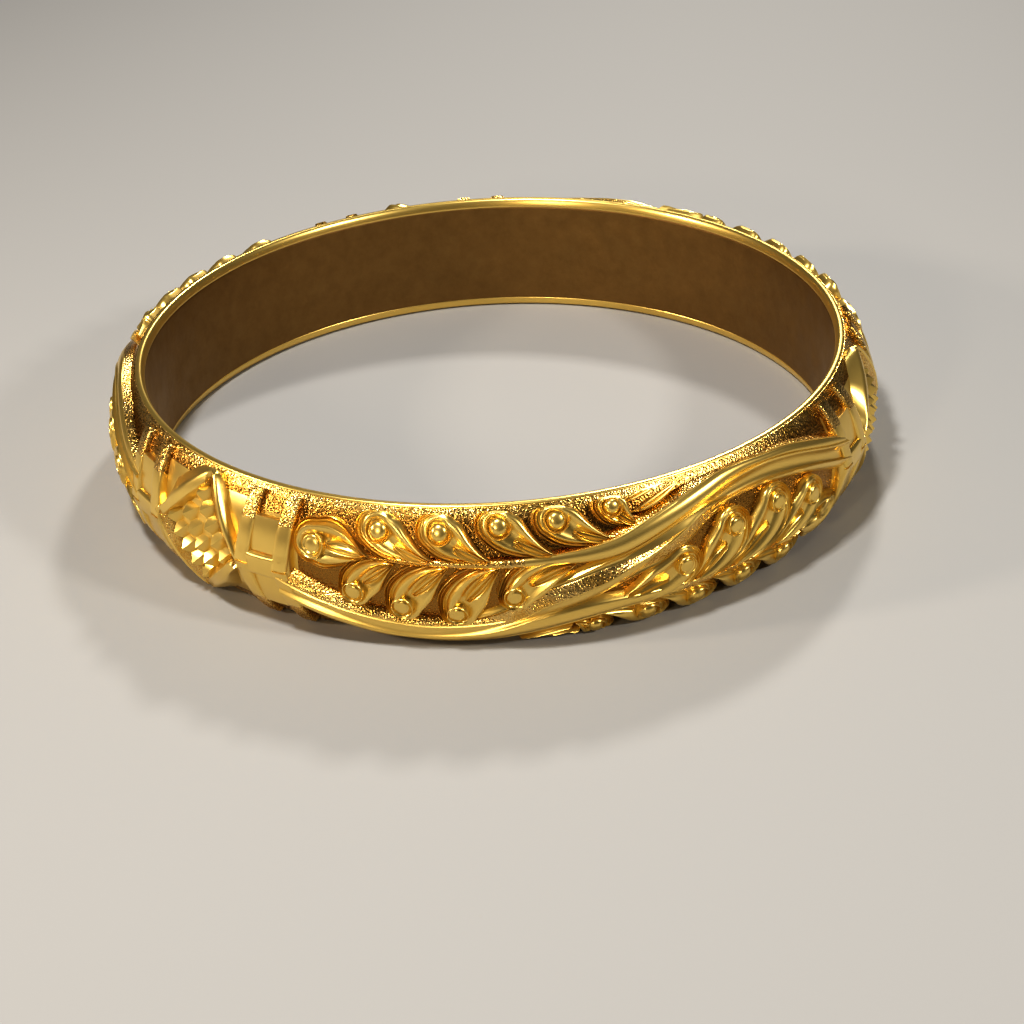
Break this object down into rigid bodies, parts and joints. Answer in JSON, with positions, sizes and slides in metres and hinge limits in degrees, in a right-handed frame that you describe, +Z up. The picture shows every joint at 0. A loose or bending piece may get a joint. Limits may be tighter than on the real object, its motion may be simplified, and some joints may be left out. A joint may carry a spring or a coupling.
{
  "type": "bangle",
  "caption": "Rigid closed bangle with a smooth round wrist opening and a domed outside carrying raised ribbons, eyed feather plumes and studded lozenges.",
  "frame": {"origin": "centre of the ring on the flat face it rests on", "axes": "+Z up along the ring's axis, -Y towards the front that carries a ribbon and its plumes"},
  "size_m": [0.0713, 0.0714, 0.0122],
  "materials": {
    "polished_gold": "mirror-polished gold plate on the raised ornament and the edges",
    "stippled_gold": "fine stippled gold plate on the sunk ground",
    "satin_gold": "satin gold plate on the wrist side"
  },
  "bodies": {
    "root": {"band": "polished_gold"}
  },
  "joints": []
}
